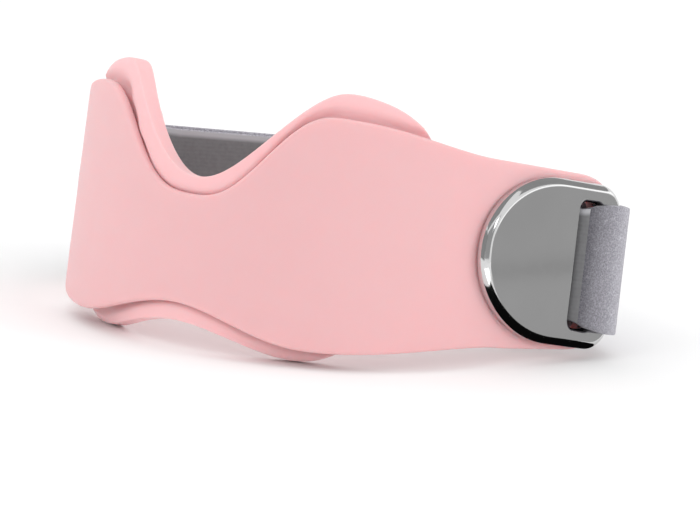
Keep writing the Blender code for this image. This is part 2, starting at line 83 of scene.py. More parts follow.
towards = Vector((math.sin(TURN_TO_RIGHT) * math.cos(LOOK_DOWN),
                  -math.cos(TURN_TO_RIGHT) * math.cos(LOOK_DOWN), math.sin(LOOK_DOWN)))
level = Vector((math.cos(TURN_TO_RIGHT), math.sin(TURN_TO_RIGHT), 0))
above = towards.cross(level)
side_axis = level * math.cos(ROLL) + above * math.sin(ROLL)
up_axis = above * math.cos(ROLL) - level * math.sin(ROLL)
aim = Matrix((side_axis, up_axis, towards)).transposed().to_4x4()
place = LOOP @ Matrix.Translation(TARGET + towards * DISTANCE) @ aim
bpy.ops.object.camera_add(location=place.translation, rotation=place.to_euler())
camera = bpy.context.object
camera.name = "camera"
camera.data.sensor_width = SENSOR_WIDTH
camera.data.lens = FOCAL_PIXELS / WIDTH_PIXELS * SENSOR_WIDTH
camera.data.shift_x = SHIFT_X
camera.data.shift_y = SHIFT_Y
camera.data.clip_end = FAR_END
bpy.context.scene.camera = camera
print("camera height:", round(place.translation.z, 3), "lens:", round(camera.data.lens, 1))

# %% [markdown]
# ## Words for shader sums
# A node material is a small calculation. Written as node after node it is hard to read,
# so a Wire wraps one socket and lets the sum be written as 0.5 + 0.2 * noise. A Finish
# holds the material, and its node method adds any other node and sets it up.

# %% Wire and Finish
class Wire:
    """One output of a node, which can stand in a sum."""

    def __init__(self, finish, socket):
        self.finish = finish
        self.socket = socket

    def math(self, operation, first, second):
        made = self.finish.node("ShaderNodeMath", {"operation": operation},
                                {0: first, 1: second})
        return made["Value"]

    def __add__(self, other):
        return self.math("ADD", self, other)

    def __radd__(self, other):
        return self.math("ADD", other, self)

    def __sub__(self, other):
        return self.math("SUBTRACT", self, other)

    def __rsub__(self, other):
        return self.math("SUBTRACT", other, self)

    def __mul__(self, other):
        return self.math("MULTIPLY", self, other)

    def __rmul__(self, other):
        return self.math("MULTIPLY", other, self)


class Finish:
    """A material that is being made."""

    def __init__(self, name, constants):
        self.material = bpy.data.materials.new(name)
        self.material.use_nodes = True
        self.tree = self.material.node_tree
        self.shader = self.tree.nodes["Principled BSDF"]
        for socket, value in constants.items():
            self.shader.inputs[socket].default_value = value

    def node(self, kind, settings, inputs):
        """Add a node with its settings and inputs; its outputs come back as Wires."""
        made = self.tree.nodes.new(kind)
        for name, value in settings.items():
            if name == "stops":
                ramp = made.color_ramp
                while len(ramp.elements) < len(value):
                    ramp.elements.new(1.0)
                for element, (position, colour) in zip(ramp.elements, value):
                    element.position = position
                    element.color = (*colour, 1)
            else:
                setattr(made, name, value)
        for socket, value in inputs.items():
            if isinstance(value, Wire):
                self.tree.links.new(value.socket, made.inputs[socket])
            else:
                made.inputs[socket].default_value = value
        return {out.name: Wire(self, out) for out in made.outputs if out.enabled}

    def place(self):
        """The point on the piece, in metres."""
        return self.node("ShaderNodeTexCoord", {}, {})["Object"]

    def noise(self, place, size, detail=2.0, rough=0.5):
        """Cloudy noise from 0 to 1, with lumps of about the given size."""
        made = self.node("ShaderNodeTexNoise", {}, {"Vector": place, "Scale": 1 / size,
                                                    "Detail": detail, "Roughness": rough})
        return made["Fac"]

    def tint(self, factor, first, second):
        """Blend two colours, each of them three numbers or a Wire."""
        ends = [end if isinstance(end, Wire) else (*end, 1) for end in (first, second)]
        made = self.node("ShaderNodeMix", {"data_type": "RGBA"},
                         {0: factor, 6: ends[0], 7: ends[1]})
        return made["Result"]

    def bump(self, height, distance, strength=1.0):
        made = self.node("ShaderNodeBump", {}, {"Height": height, "Distance": distance,
                                                "Strength": strength})
        return made["Normal"]

    def drive(self, socket, wire):
        self.tree.links.new(wire.socket, self.shader.inputs[socket])


def dress(piece, finish):
    piece.data.materials.clear()
    piece.data.materials.append(finish.material)


# %% [markdown]
# ## Floor and light
# The picture has a plain white ground and very soft light from all round, so the pink
# hardly shades. A bright world does most of that. One large lamp from the upper left
# gives the forms their slight modelling. The floor is a matte sheet, a little off white.

# %% Floor and lamps
FLOOR_SIZE = 12.0
WORLD_STRENGTH = 1.06
MIDDLE = Vector((0, 0, 30)) * MM
bpy.ops.mesh.primitive_plane_add(size=FLOOR_SIZE, location=(0, 0, 0))
floor = bpy.context.object
floor.name = "floor"
floor_finish = Finish("floor_white", {"Roughness": 0.9, "Specular IOR Level": 0.1})
floor_cloud = floor_finish.noise(floor_finish.place(), 0.4)
floor_finish.drive("Base Color", floor_finish.tint(floor_cloud, (0.93, 0.93, 0.93),
                                                   (0.95, 0.95, 0.95)))
dress(floor, floor_finish)

world = bpy.data.worlds.new("studio")
world.use_nodes = True
world.node_tree.nodes["Background"].inputs["Color"].default_value = (1, 1, 1, 1)
world.node_tree.nodes["Background"].inputs["Strength"].default_value = WORLD_STRENGTH
bpy.context.scene.world = world
bpy.context.scene.view_settings.view_transform = "Standard"


def add_lamp(name, position, size, power):
    """A square soft lamp that faces the middle of the strap."""
    direction = MIDDLE - Vector(position)
    bpy.ops.object.light_add(type="AREA", location=position,
                             rotation=direction.to_track_quat("-Z", "Y").to_euler())
    lamp = bpy.context.object
    lamp.name = name
    lamp.data.size = size
    lamp.data.energy = power
    lamp.visible_glossy = False


add_lamp("key_lamp", (-0.5, -1.6, 1.2), 1.4, 6)
add_lamp("side_lamp", (1.5, 0.5, 0.7), 0.6, 4)

# %% [markdown]
# ## Cards for the metal
# Bright metal shows what stands round it. In a studio grey, black and white cards are set
# up beside it, out of view, to draw its form. The same is done here. A grey card stands
# where the plate's flat face mirrors it, and another lies in front of that one. Four more
# above, behind and in front darken the rim. A black card under the plate gives the rim its
# dark lower line, a white strip over the grey card the bright upper line, and two small
# white ones the glints on the round side. Only reflections see the cards, so they cast no
# light or shadow on the strap.

# %% Grey, black and white cards
def add_card(name, position, facing, size, brightness):
    """A card that only mirror reflections see."""
    direction = Vector(facing) - Vector(position)
    bpy.ops.mesh.primitive_plane_add(size=1, location=position,
                                     rotation=direction.to_track_quat("Z", "Y").to_euler())
    card = bpy.context.object
    card.name = name
    card.scale = (*size, 1)
    glow = Finish(name, {"Base Color": (0, 0, 0, 1), "Specular IOR Level": 0.0})
    level = glow.noise(glow.place(), 0.3)
    glow.drive("Emission Color", glow.tint(level, [0.9 * brightness] * 3, [1.1 * brightness] * 3))
    glow.shader.inputs["Emission Strength"].default_value = 1.0
    dress(card, glow)
    card.visible_camera = False
    card.visible_diffuse = False
    card.visible_shadow = False
    card.visible_transmission = False


PLATE_PLACE = (0.065, 0.0, 0.026)
add_card("grey_card", (0.275, 0.15, 0.02), PLATE_PLACE, (0.24, 0.11), 0.46)
add_card("grey_floor_card", (0.185, 0.085, 0.001), (0.185, 0.085, 1.0), (0.20, 0.15), 0.46)
add_card("grey_back_card", (0.0, 0.50, 0.60), PLATE_PLACE, (1.60, 0.65), 0.36)
add_card("grey_top_card", (-0.10, -0.15, 0.90), PLATE_PLACE, (1.20, 1.00), 0.36)
add_card("dark_strip_card", (0.272, 0.148, 0.0145), PLATE_PLACE, (0.24, 0.004), 0.36)
add_card("grey_front_card", (-0.12, -0.60, 0.25), PLATE_PLACE, (0.95, 0.50), 0.34)
add_card("grey_side_card", (0.60, -0.45, 0.35), PLATE_PLACE, (0.90, 0.60), 0.42)
add_card("black_card", (0.085, -0.013, 0.0015), (0.085, -0.013, 1.0), (0.085, 0.063), 0.004)
add_card("white_card", (0.25, 0.17, 0.105), PLATE_PLACE, (0.30, 0.04), 1.6)
add_card("glint_card_up", (0.35, -0.100, 0.260), PLATE_PLACE, (0.07, 0.07), 5.0)
add_card("glint_card_low", (0.17, -0.085, 0.001), (0.17, -0.085, 1.0), (0.16, 0.08), 3.0)

# %% [markdown]
# ## The flat pattern
# The real band is moulded round, but its outline is simplest as a flat pattern: x runs
# along the strap, y is up, z points away from the leg. Each piece is drawn flat and then
# laid round the loop. The outline is a height for each place along the strap, blended
# between a few named heights with soft steps, as a template is drawn with a curve.

# %% Blends
def share(value, low, high):
    """Where value lies between low and high, from 0 to 1."""
    return min(1.0, max(0.0, (value - low) / (high - low)))


def ease(t):
    return t * t * (3 - 2 * t)


def steep_ease(t):
    return t ** 3 * (t * (6 * t - 15) + 10)


def blend(a, b, t):
    return a + (b - a) * t


def round_off(t):
    """A quarter circle that falls from 1 at t = 0 to 0 at t = 1."""
    return math.sqrt(max(0.0, 1 - t * t))


# %% [markdown]
# ## Laying a pattern round the loop
# Seen from above, the front is an arc and each side is a straight run that carries a
# flat plate. The soft loop isn't quite even: the right side leans in at the top by 7 mm
# in 100, and the left one leans out by 5 and has a second, tighter bend. The function
# takes a point of the flat pattern and gives its place, and lay_round moves every point
# of a mesh.

# %% Front arc and sides
FRONT_RADIUS = 57.5 * MM
BENDS = {
    1: [(FRONT_RADIUS, math.radians(78))],
    -1: [(FRONT_RADIUS, math.radians(56)), (44 * MM, math.radians(19))],
}
LEANS = {1: 0.07, -1: -0.05}
LEAN_FROM, LEAN_FULL = 15 * MM, 70 * MM
BAND_HALF = 121.0 * MM


def side_of(s):
    return 1 if s > 0 else -1


def plan(side, along):
    """Where a side's bends lead at a length along it: x, y and heading, as on the right."""
    x, y, heading = 0.0, -FRONT_RADIUS, 0.0
    for radius, turn in BENDS[side]:
        bend = min(along / radius, turn)
        x += radius * (math.sin(heading + bend) - math.sin(heading))
        y += radius * (math.cos(heading) - math.cos(heading + bend))
        heading += bend
        along -= radius * bend
    return x + along * math.cos(heading), y + along * math.sin(heading), heading


def round_front(s, height, out):
    """The place of a point of the flat pattern, with a lean that grows along the side."""
    side = side_of(s)
    x, y, heading = plan(side, abs(s))
    reach = out - LEANS[side] * ease(share(abs(s), LEAN_FROM, LEAN_FULL)) * height
    return Vector((side * (x + reach * math.sin(heading)), y - reach * math.cos(heading),
                   height))


def on_side(s, height, out):
    """The same on a flat side, for stiff pieces that don't bend."""
    side = side_of(s)
    x, y, heading = plan(side, BAND_HALF)
    back = abs(s) - BAND_HALF
    reach = out - LEANS[side] * height
    x += back * math.cos(heading) + reach * math.sin(heading)
    y += back * math.sin(heading) - reach * math.cos(heading)
    return Vector((side * x, y, height))


def lay_round(piece, where):
    """Move a flat piece to its place on the loop, and the loop to the floor."""
    for vertex in piece.data.vertices:
        vertex.co = LOOP @ where(*vertex.co)
    piece.data.update()


# %% [markdown]
# ## Small helpers for modelling by operator
# An operator works on what is selected, so each step starts with nothing selected and
# then selects by place. In this way the steps read as they would be done by hand.

# %% Selecting and applying
def nothing_selected():
    bpy.ops.object.select_all(action="DESELECT")


def only(piece):
    nothing_selected()
    piece.select_set(True)
    bpy.context.view_layer.objects.active = piece


def pick(kind, test):
    """In edit mode, select the vertices, edges or faces whose corners all pass a test."""
    bpy.ops.mesh.select_mode(type=kind)
    bpy.ops.mesh.select_all(action="DESELECT")
    shape = bmesh.from_edit_mesh(bpy.context.object.data)
    parts = {"VERT": shape.verts, "EDGE": shape.edges, "FACE": shape.faces}[kind]
    for part in parts:
        corners = [part] if kind == "VERT" else part.verts
        part.select_set(all(test(*corner.co) for corner in corners))
    shape.select_flush_mode()
    bmesh.update_edit_mesh(bpy.context.object.data)


def apply_all(piece):
    only(piece)
    for modifier in list(piece.modifiers):
        bpy.ops.object.modifier_apply(modifier=modifier.name)


def add_modifier(piece, kind, **settings):
    modifier = piece.modifiers.new(kind.lower(), kind)
    for name, value in settings.items():
        setattr(modifier, name, value)


def report(piece):
    faces = sum(len(polygon.vertices) - 2 for polygon in piece.data.polygons)
    print(piece.name, "triangles:", faces)


# %% [markdown]
# ## A sheet with a shaped outline
# The band and the cushion are sheets of even thickness. A grid is the right start: its
# columns are moved to places along the strap, and its rows are spread between the lower
# and the upper outline. Solidify gives the wall and Bevel rounds the rim. Subdivision
# then makes every curve smooth before the sheet is bent round the loop.

# %% Sheet from a grid
ROWS = 8
LONGEST_STEP = 3.4 * MM
CORNER_STEPS = 4
ROUND_RIM = math.radians(50)


def add_sheet(name, columns, bottom, top):
    """A flat grid between two outlines."""
    nothing_selected()
    bpy.ops.mesh.primitive_grid_add(x_subdivisions=len(columns) - 1, y_subdivisions=ROWS,
                                    size=2, location=(0, 0, 0))
    sheet = bpy.context.object
    sheet.name = name
    sheet.data.name = name
    last = len(columns) - 1
    for vertex in sheet.data.vertices:
        s = columns[round((vertex.co.x + 1) / 2 * last)]
        rise = (vertex.co.y + 1) / 2
        vertex.co = (s, blend(bottom(s), top(s), rise), 0)
    return sheet


def both_sides(columns):
    """The same columns on the left, in order."""
    return [-s for s in reversed(columns) if s > 0] + columns


def even_steps(start, end):
    count = max(1, math.ceil((end - start) / LONGEST_STEP))
    return [blend(start, end, k / count) for k in range(count + 1)]


# %% [markdown]
# ## The outer band
# The band is a thin tongue of soft rubber, 2.4 mm thick. Its upper edge dips into a
# notch for the kneecap between two lobes, of which the left one is narrower, and its
# lower edge has two lower lobes. The ends are level where they pass under the plates,
# with rounded corners.

# %% Outline of the band
BAND_THICK = 2.4 * MM
BAND_NOTCH, BAND_NOTCH_FLAT = 1.6 * MM, 1.0 * MM
BAND_LOBE_UP, BAND_LOBE_FALL, BAND_WAIST = 25.2 * MM, 38 * MM, 75 * MM
BAND_RISES = {1: 33 * MM, -1: 40 * MM}
BAND_MIDDLE_DOWN, BAND_LOBE_DOWN, BAND_WAIST_DOWN = 24.4 * MM, 30.5 * MM, 22.7 * MM
BAND_LOBE_DOWN_AT, BAND_WAIST_DOWN_AT = 31 * MM, 85 * MM
BAND_CORNER_LONG = 11.5 * MM
BAND_CORNER_HIGH = 9.0 * MM
PLATE_HALF = 20.2 * MM
SIDE_UP = PLATE_HALF + 1.75 * MM
SIDE_DOWN = PLATE_HALF + 0.8 * MM


def band_end(s):
    return round_off(share(abs(s), BAND_HALF - BAND_CORNER_LONG, BAND_HALF))


def band_top(s):
    rise = steep_ease(share(abs(s), BAND_NOTCH_FLAT, BAND_RISES[side_of(s)]))
    fall = ease(share(abs(s), BAND_LOBE_FALL, BAND_WAIST))
    height = blend(blend(BAND_NOTCH, BAND_LOBE_UP, rise), SIDE_UP, fall)
    return height - BAND_CORNER_HIGH * (1 - band_end(s))


def band_bottom(s):
    drop = ease(share(abs(s), 0, BAND_LOBE_DOWN_AT))
    rise = ease(share(abs(s), BAND_LOBE_DOWN_AT, BAND_WAIST_DOWN_AT))
    slope = share(abs(s), BAND_WAIST_DOWN_AT, BAND_HALF - BAND_CORNER_LONG)
    depth = blend(blend(BAND_MIDDLE_DOWN, BAND_LOBE_DOWN, drop), BAND_WAIST_DOWN, rise)
    depth = blend(depth, SIDE_DOWN, slope)
    return BAND_CORNER_HIGH * (1 - band_end(s)) - depth


# %% Model the band
BAND_EDGE = 1.0 * MM
corner_at = BAND_HALF - BAND_CORNER_LONG
corner = [corner_at + BAND_CORNER_LONG * math.sin(k / CORNER_STEPS * math.pi / 2)
          for k in range(1, CORNER_STEPS + 1)]
band = add_sheet("outer_band_soft", both_sides(even_steps(0, corner_at) + corner),
                 band_bottom, band_top)
add_modifier(band, "SOLIDIFY", thickness=BAND_THICK, offset=1.0)
add_modifier(band, "BEVEL", width=BAND_EDGE, segments=2, limit_method="ANGLE",
             angle_limit=ROUND_RIM)
add_modifier(band, "SUBSURF", levels=2, render_levels=2)
apply_all(band)
report(band)

# %% [markdown]
# ## Slots and rivet holes
# The webbing passes through a slot in the plate and in the band under it. A slot is cut
# with a block whose upright edges are rounded, and a rivet hole with a round bar. The
# band's slot is a little larger, so the webbing touches the metal and not the rubber.

# %% Slot cutters
PLATE_THICK = 3.0 * MM
PLATE_IN = BAND_THICK + GAP
PLATE_OUT = PLATE_IN + PLATE_THICK
PLATE_END = BAND_HALF - 0.3 * MM
PLATE_LENGTH = 50.2 * MM
PLATE_BAR = 8.7 * MM
SLOT_WIDTH = 8.0 * MM
SLOT_CORNER = 2.0 * MM
BAND_SLOT_ROOM = 0.6 * MM
SLOT_END = PLATE_END - PLATE_BAR
SLOT_MIDDLE = SLOT_END - SLOT_WIDTH / 2
STRAP_WIDTH = 31.5 * MM
STRAP_PINCH = 2.2 * MM
SLOT_HALF = STRAP_WIDTH / 2 - STRAP_PINCH + 1.85 * MM
RIVET_AT = PLATE_END - PLATE_LENGTH + 19.5 * MM
RIVET_HOLE = 2.7 * MM


def slot_block(side, grow):
    """A block with rounded upright edges, larger than the slot by grow all round."""
    width, high = SLOT_WIDTH + 2 * grow, 2 * (SLOT_HALF + grow)
    nothing_selected()
    bpy.ops.mesh.primitive_cube_add(size=1, location=(side * SLOT_MIDDLE, 0, 0),
                                    scale=(width, high, 6 * PLATE_OUT))
    block = bpy.context.object
    bpy.ops.object.transform_apply(location=True, rotation=True, scale=True)
    bpy.ops.object.mode_set(mode="EDIT")
    shape = bmesh.from_edit_mesh(block.data)
    bpy.ops.mesh.select_mode(type="EDGE")
    bpy.ops.mesh.select_all(action="DESELECT")
    for edge in shape.edges:
        a, b = edge.verts
        edge.select_set(abs(a.co.z - b.co.z) > PLATE_OUT)
    bmesh.update_edit_mesh(block.data)
    bpy.ops.mesh.bevel(offset=SLOT_CORNER + grow, segments=8, affect="EDGES")
    bpy.ops.object.mode_set(mode="OBJECT")
    return block


def cut_away(piece, cutter):
    """Cut one solid out of another and delete the cutter."""
    add_modifier(piece, "BOOLEAN", operation="DIFFERENCE", solver="EXACT", object=cutter)
    apply_all(piece)
    bpy.data.objects.remove(cutter, do_unlink=True)


# %% Cut the band and lay it round
for side in (1, -1):
    cut_away(band, slot_block(side, BAND_SLOT_ROOM))
    nothing_selected()
    bpy.ops.mesh.primitive_cylinder_add(vertices=32, radius=RIVET_HOLE, depth=4 * PLATE_OUT,
                                        location=(side * RIVET_AT, 0, 0))
    bpy.ops.object.transform_apply(location=True, rotation=True, scale=True)
    cut_away(band, bpy.context.object)
lay_round(band, round_front)
only(band)
bpy.ops.object.shade_smooth_by_angle(angle=math.radians(40))
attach(band, "root")
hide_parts("outer_band")
report(band)

# %% [markdown]
# ## The cushion behind the band
# The cushion is a thicker moulded pad that follows the band's outline and looks out past
# it in the notch, at the lobes and below. Its lobes curl in towards the leg, so a groove
# opens behind the band's lobes. The curl is a distance that grows with the square of the
# height past the middle. Where the cushion looks out past the band it swells to a soft
# lip, so that its face comes up beside the band's edge. At the lobes the lip starts later.

# %% Outline and curl of the cushion
PAD_THICK = 3.0 * MM
PAD_EDGE = 1.2 * MM
PAD_HALF = 63 * MM
PAD_NOTCH = 5.8 * MM
PAD_RISES = {1: 34 * MM, -1: 35.2 * MM}
PAD_LOBE_UP, PAD_LOBE_FALL = 31.3 * MM, 38 * MM
PAD_MIDDLE_DOWN, PAD_LOBE_DOWN, PAD_LOW_AT = 28.7 * MM, 33.4 * MM, 30 * MM
PAD_TIP = 11.3 * MM
PAD_TIP_CUT = math.radians(80)
CURL_UP, CURL_UP_FROM = 3.0 * MM, 8 * MM
CURL_DOWN, CURL_DOWN_FROM = 5.7 * MM, 12 * MM
CURL_MIDDLE, CURL_AT = 0.35, 34 * MM
LIP_HIGH, LIP_FROM, LIP_TO = 1.5 * MM, -0.5 * MM, 1.2 * MM
LIP_LATER = 1.8 * MM


def pad_top(s):
    rise = ease(share(abs(s), BAND_NOTCH_FLAT, PAD_RISES[side_of(s)]))
    height = blend(PAD_NOTCH, PAD_LOBE_UP, rise)
    return blend(PAD_TIP, height, round_off(share(abs(s), PAD_LOBE_FALL, PAD_HALF)))


def pad_bottom(s):
    drop = ease(share(abs(s), 0, PAD_LOW_AT))
    depth = blend(PAD_MIDDLE_DOWN, PAD_LOBE_DOWN, drop)
    return blend(PAD_TIP, -depth, round_off(share(abs(s), PAD_LOW_AT, PAD_HALF)))


def behind_band(s, height, out):
    """The place of a point of the cushion, under the band and curled in."""
    side = ease(share(abs(s), 0, CURL_AT))
    up = share(height, CURL_UP_FROM, PAD_LOBE_UP) ** 2
    down = share(-height, CURL_DOWN_FROM, PAD_LOBE_DOWN) ** 2
    curl = CURL_UP * side * up + CURL_DOWN * blend(CURL_MIDDLE, 1, side) * down
    past = max(height - band_top(s), band_bottom(s) - height) - LIP_LATER * side * up
    lip = LIP_HIGH * ease(share(past, LIP_FROM, LIP_TO)) * out / PAD_THICK
    return round_front(s, height, out - PAD_THICK - GAP - curl + lip)


# %% Model the cushion
long = PAD_HALF - PAD_LOBE_FALL
tip = [PAD_LOBE_FALL + long * math.sin(k / CORNER_STEPS * PAD_TIP_CUT)
       for k in range(1, CORNER_STEPS + 1)]
pad = add_sheet("inner_pad_soft", both_sides(even_steps(0, PAD_LOBE_FALL) + tip),
                pad_bottom, pad_top)
add_modifier(pad, "SOLIDIFY", thickness=PAD_THICK, offset=1.0)
add_modifier(pad, "BEVEL", width=PAD_EDGE, segments=2, limit_method="ANGLE",
             angle_limit=ROUND_RIM)
add_modifier(pad, "SUBSURF", levels=2, render_levels=2)
apply_all(pad)
lay_round(pad, behind_band)
only(pad)
bpy.ops.object.shade_smooth()
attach(pad, "root")
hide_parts("inner_pad")
report(pad)

# %% [markdown]
# ## The buckle plates
# Each plate is a polished casting in the shape of a D, with a round side towards the
# knee, a slot for the webbing and a fully rounded outer rim. It starts as a flat
# rectangle. Its four corners are rounded by a bevel of the vertices, two tightly at the
# bar and two to a half circle at the round side, which is then drawn out lengthwise to
# half an ellipse. The face is pulled up to the plate's thickness, and the outer edge is
# rounded. The slot is cut last and its own edge softened. Weighted normals keep the flat
# face mirror flat, because a large face then counts for more than the narrow ones of the
# rim beside it.

# %% Model a plate
PLATE_CORNER = 8.0 * MM
PLATE_NOSE = 28.0 * MM
PLATE_RIM = 2.2 * MM
PLATE_UNDER_RIM = 0.3 * MM
SLOT_RIM = 1.0 * MM
HAIR = 0.01 * MM


def add_plate(name, side):
    nose_at = PLATE_END - PLATE_LENGTH + PLATE_NOSE
    length = PLATE_END - nose_at + PLATE_HALF
    nothing_selected()
    bpy.ops.mesh.primitive_plane_add(size=1, location=(side * (PLATE_END - length / 2), 0,
                                                       PLATE_IN))
    plate = bpy.context.object
    plate.name = name
    plate.data.name = name
    plate.scale = (length, 2 * PLATE_HALF, 1)
    bpy.ops.object.transform_apply(location=True, rotation=True, scale=True)
    bpy.ops.object.mode_set(mode="EDIT")
    pick("VERT", lambda x, y, z: side * x > nose_at)
    bpy.ops.mesh.bevel(offset=PLATE_CORNER, segments=12, affect="VERTICES")
    pick("VERT", lambda x, y, z: side * x < nose_at - PLATE_HALF / 2)
    bpy.ops.mesh.bevel(offset=0.98 * PLATE_HALF, segments=28, affect="VERTICES")
    pick("VERT", lambda x, y, z: side * x < nose_at)
    bpy.ops.transform.resize(value=(PLATE_NOSE / PLATE_HALF, 1, 1),
                             center_override=(side * nose_at, 0, PLATE_IN))
    bpy.ops.mesh.select_all(action="SELECT")
    bpy.ops.mesh.extrude_region_move(TRANSFORM_OT_translate={"value": (0, 0, PLATE_THICK)})
    bpy.ops.mesh.select_all(action="SELECT")
    bpy.ops.mesh.normals_make_consistent(inside=False)
    pick("EDGE", lambda x, y, z: z > PLATE_OUT - HAIR)
    bpy.ops.mesh.bevel(offset=PLATE_RIM, segments=8, affect="EDGES")
    pick("EDGE", lambda x, y, z: z < PLATE_IN + HAIR)
    bpy.ops.mesh.bevel(offset=PLATE_UNDER_RIM, segments=2, affect="EDGES")
    bpy.ops.object.mode_set(mode="OBJECT")
    cut_away(plate, slot_block(side, 0))
    bpy.ops.object.mode_set(mode="EDIT")

    def on_slot_edge(x, y, z):
        return (z > PLATE_OUT - HAIR and abs(side * x - SLOT_MIDDLE) < SLOT_WIDTH / 2 + GAP
                and abs(y) < SLOT_HALF + GAP)

    pick("EDGE", on_slot_edge)
    bpy.ops.mesh.bevel(offset=SLOT_RIM, segments=4, affect="EDGES")
    bpy.ops.object.mode_set(mode="OBJECT")
    lay_round(plate, on_side)
    only(plate)
    bpy.ops.object.shade_smooth_by_angle(angle=math.radians(30))
    add_modifier(plate, "WEIGHTED_NORMAL", mode="FACE_AREA", keep_sharp=True)
    apply_all(plate)
    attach(plate, "root")
    report(plate)
    return plate


plates = []
for name, side in (("right", 1), ("left", -1)):
    plate = add_plate("plate_polished_" + name, side)
    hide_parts("buckle_plate_" + name)
    plates.append(plate)

# %% [markdown]
# ## The route of the webbing
# One flat strip of webbing makes the whole rear of the loop. It starts as a free end
# laid on the outside, bends over the right bar, goes in through the slots, runs behind
# the knee and comes out over the left bar. Such a route is a belt round pulleys: arcs
# round circles, joined by straight runs that touch both. Near a slot the strip's edges
# draw in, because the slot squeezes the soft webbing.

# %% Belt round circles
STRAP_THICK = 1.6 * MM
STRAP_EDGE = 0.5 * MM
INNER_SIDE = 0.05 * MM
STRAP_IN = -(GAP + STRAP_THICK / 2)
STRAP_OUT = PLATE_OUT + GAP + STRAP_THICK / 2
BACK_RADIUS = 62 * MM
BACK_REACH = 36 * MM
INNER_BEND, INNER_BEND_BACK = 8 * MM, 6.5 * MM
CROWN, CROWN_BEND, CROWN_AT = 0.8 * MM, 10 * MM, 3.4 * MM
PINCH_LONG = 9 * MM
RISE, RISE_LEFT = 1.1 * MM, 1.5 * MM
RISE_LONG, RISE_LEFT_AT = 12 * MM, 50 * MM
FREE_END, SEWN_END = 42 * MM, 33.5 * MM
SEWN_RISE, SEWN_RISE_LONG = 1.4 * MM, 14 * MM
TAB_THICK = 1.0 * MM
SMALL_STEP = math.radians(7.5)
BACK_STEP = math.radians(3)
SAME_PLACE = 0.001 * MM


def strap_circles():
    """The circles (x, y, radius, step), with a radius below 0 where it turns right."""
    back_x = (on_side(BAND_HALF, 0, 0).x + on_side(-BAND_HALF, 0, 0).x) / 2
    back_y = on_side(BAND_HALF, 0, 0).y + BACK_REACH - BACK_RADIUS
    slot_bend = (STRAP_OUT - STRAP_IN) / 2
    bends = [
        (SLOT_END + CROWN_AT, STRAP_OUT + CROWN - CROWN_BEND, -CROWN_BEND),
        (SLOT_END - SLOT_WIDTH + GAP + STRAP_THICK / 2 + slot_bend, STRAP_IN + slot_bend,
         -slot_bend),
        (BAND_HALF - INNER_BEND_BACK, STRAP_IN - INNER_BEND, INNER_BEND),
    ]

    def round_buckle(side):
        places = [(on_side(side * s, 0, out), radius) for s, out, radius in bends]
        return [(place.x, place.y, radius, SMALL_STEP) for place, radius in places]

    def round_back(radius):
        return [(back_x, back_y, radius, BACK_STEP)]

    free_layer = BACK_RADIUS + STRAP_THICK + TAB_THICK + 2 * GAP
    sewn_layer = BACK_RADIUS + STRAP_THICK + GAP
    return (round_back(-free_layer) + round_buckle(1) + round_back(BACK_RADIUS)
            + round_buckle(-1)[::-1] + round_back(-sewn_layer))


def belt(circles, lead, trail):
    """Stations (x, y, heading) of a belt, with lengths on its first and last circle."""
    links = []
    for (x0, y0, r0, _), (x1, y1, r1, _) in zip(circles, circles[1:]):
        distance = math.hypot(x1 - x0, y1 - y0)
        links.append(math.atan2(y1 - y0, x1 - x0) - math.asin((r1 - r0) / distance))
    arrivals = [links[0] - lead / circles[0][2]] + links
    departures = links + [links[-1] + trail / circles[-1][2]]
    stations = []
    for (x, y, radius, step), arrive, leave in zip(circles, arrivals, departures):
        side = 1 if radius > 0 else -1
        turn = (side * (leave - arrive)) % math.tau
        steps = max(1, math.ceil(turn / step))
        for k in range(steps + 1):
            heading = arrive + side * turn * k / steps
            stations.append((x + radius * math.sin(heading), y - radius * math.cos(heading),
                             heading))
    return stations


def leaning(x, y, height):
    """How far the webbing is moved from upright: the sides' lean, and its rise behind,
    which is larger on the left."""
    side = side_of(x)
    edge, bar_y, heading = plan(side, BAND_HALF)
    high = RISE + RISE_LEFT * share(-x, 0, RISE_LEFT_AT)
    rise = high * ease(share(y, bar_y, bar_y + RISE_LONG))
    t = min(1.0, abs(x) / edge)
    angle = blend(math.pi / 2, heading - math.pi / 2, t)
    way = Vector((side * math.cos(angle), math.sin(angle), 0))
    return Vector((0, 0, rise)) - way * LEANS[side] * ease(t) * height


def pinched(x, y, height):
    """The height on the strip, with its edges drawn in near a slot."""
    slot = on_side(side_of(x) * (SLOT_END - SLOT_WIDTH), 0, (PLATE_IN + PLATE_OUT) / 2)
    near = 1 - share(math.hypot(x - slot.x, y - slot.y), 0, PINCH_LONG)
    return height * (1 - STRAP_PINCH / (STRAP_WIDTH / 2) * ease(near))


stations = belt(strap_circles(), FREE_END, SEWN_END)
route = [(0.0, *stations[0])]
for x, y, heading in stations[1:]:
    travelled, x0, y0, _ = route[-1]
    step = math.hypot(x - x0, y - y0)
    if step > SAME_PLACE:
        route.append((travelled + step, x, y, heading))
print("webbing length, mm:", round(route[-1][0] / MM), "stations:", len(route))

# %% [markdown]
# ## The webbing strap
# The strip is a sheet of loop pile on a woven ground. It is a grid with a column at each
# station of the route and gets a real wall, so its cut edges show. Its columns are laid
# on the stations by their length along the strip.

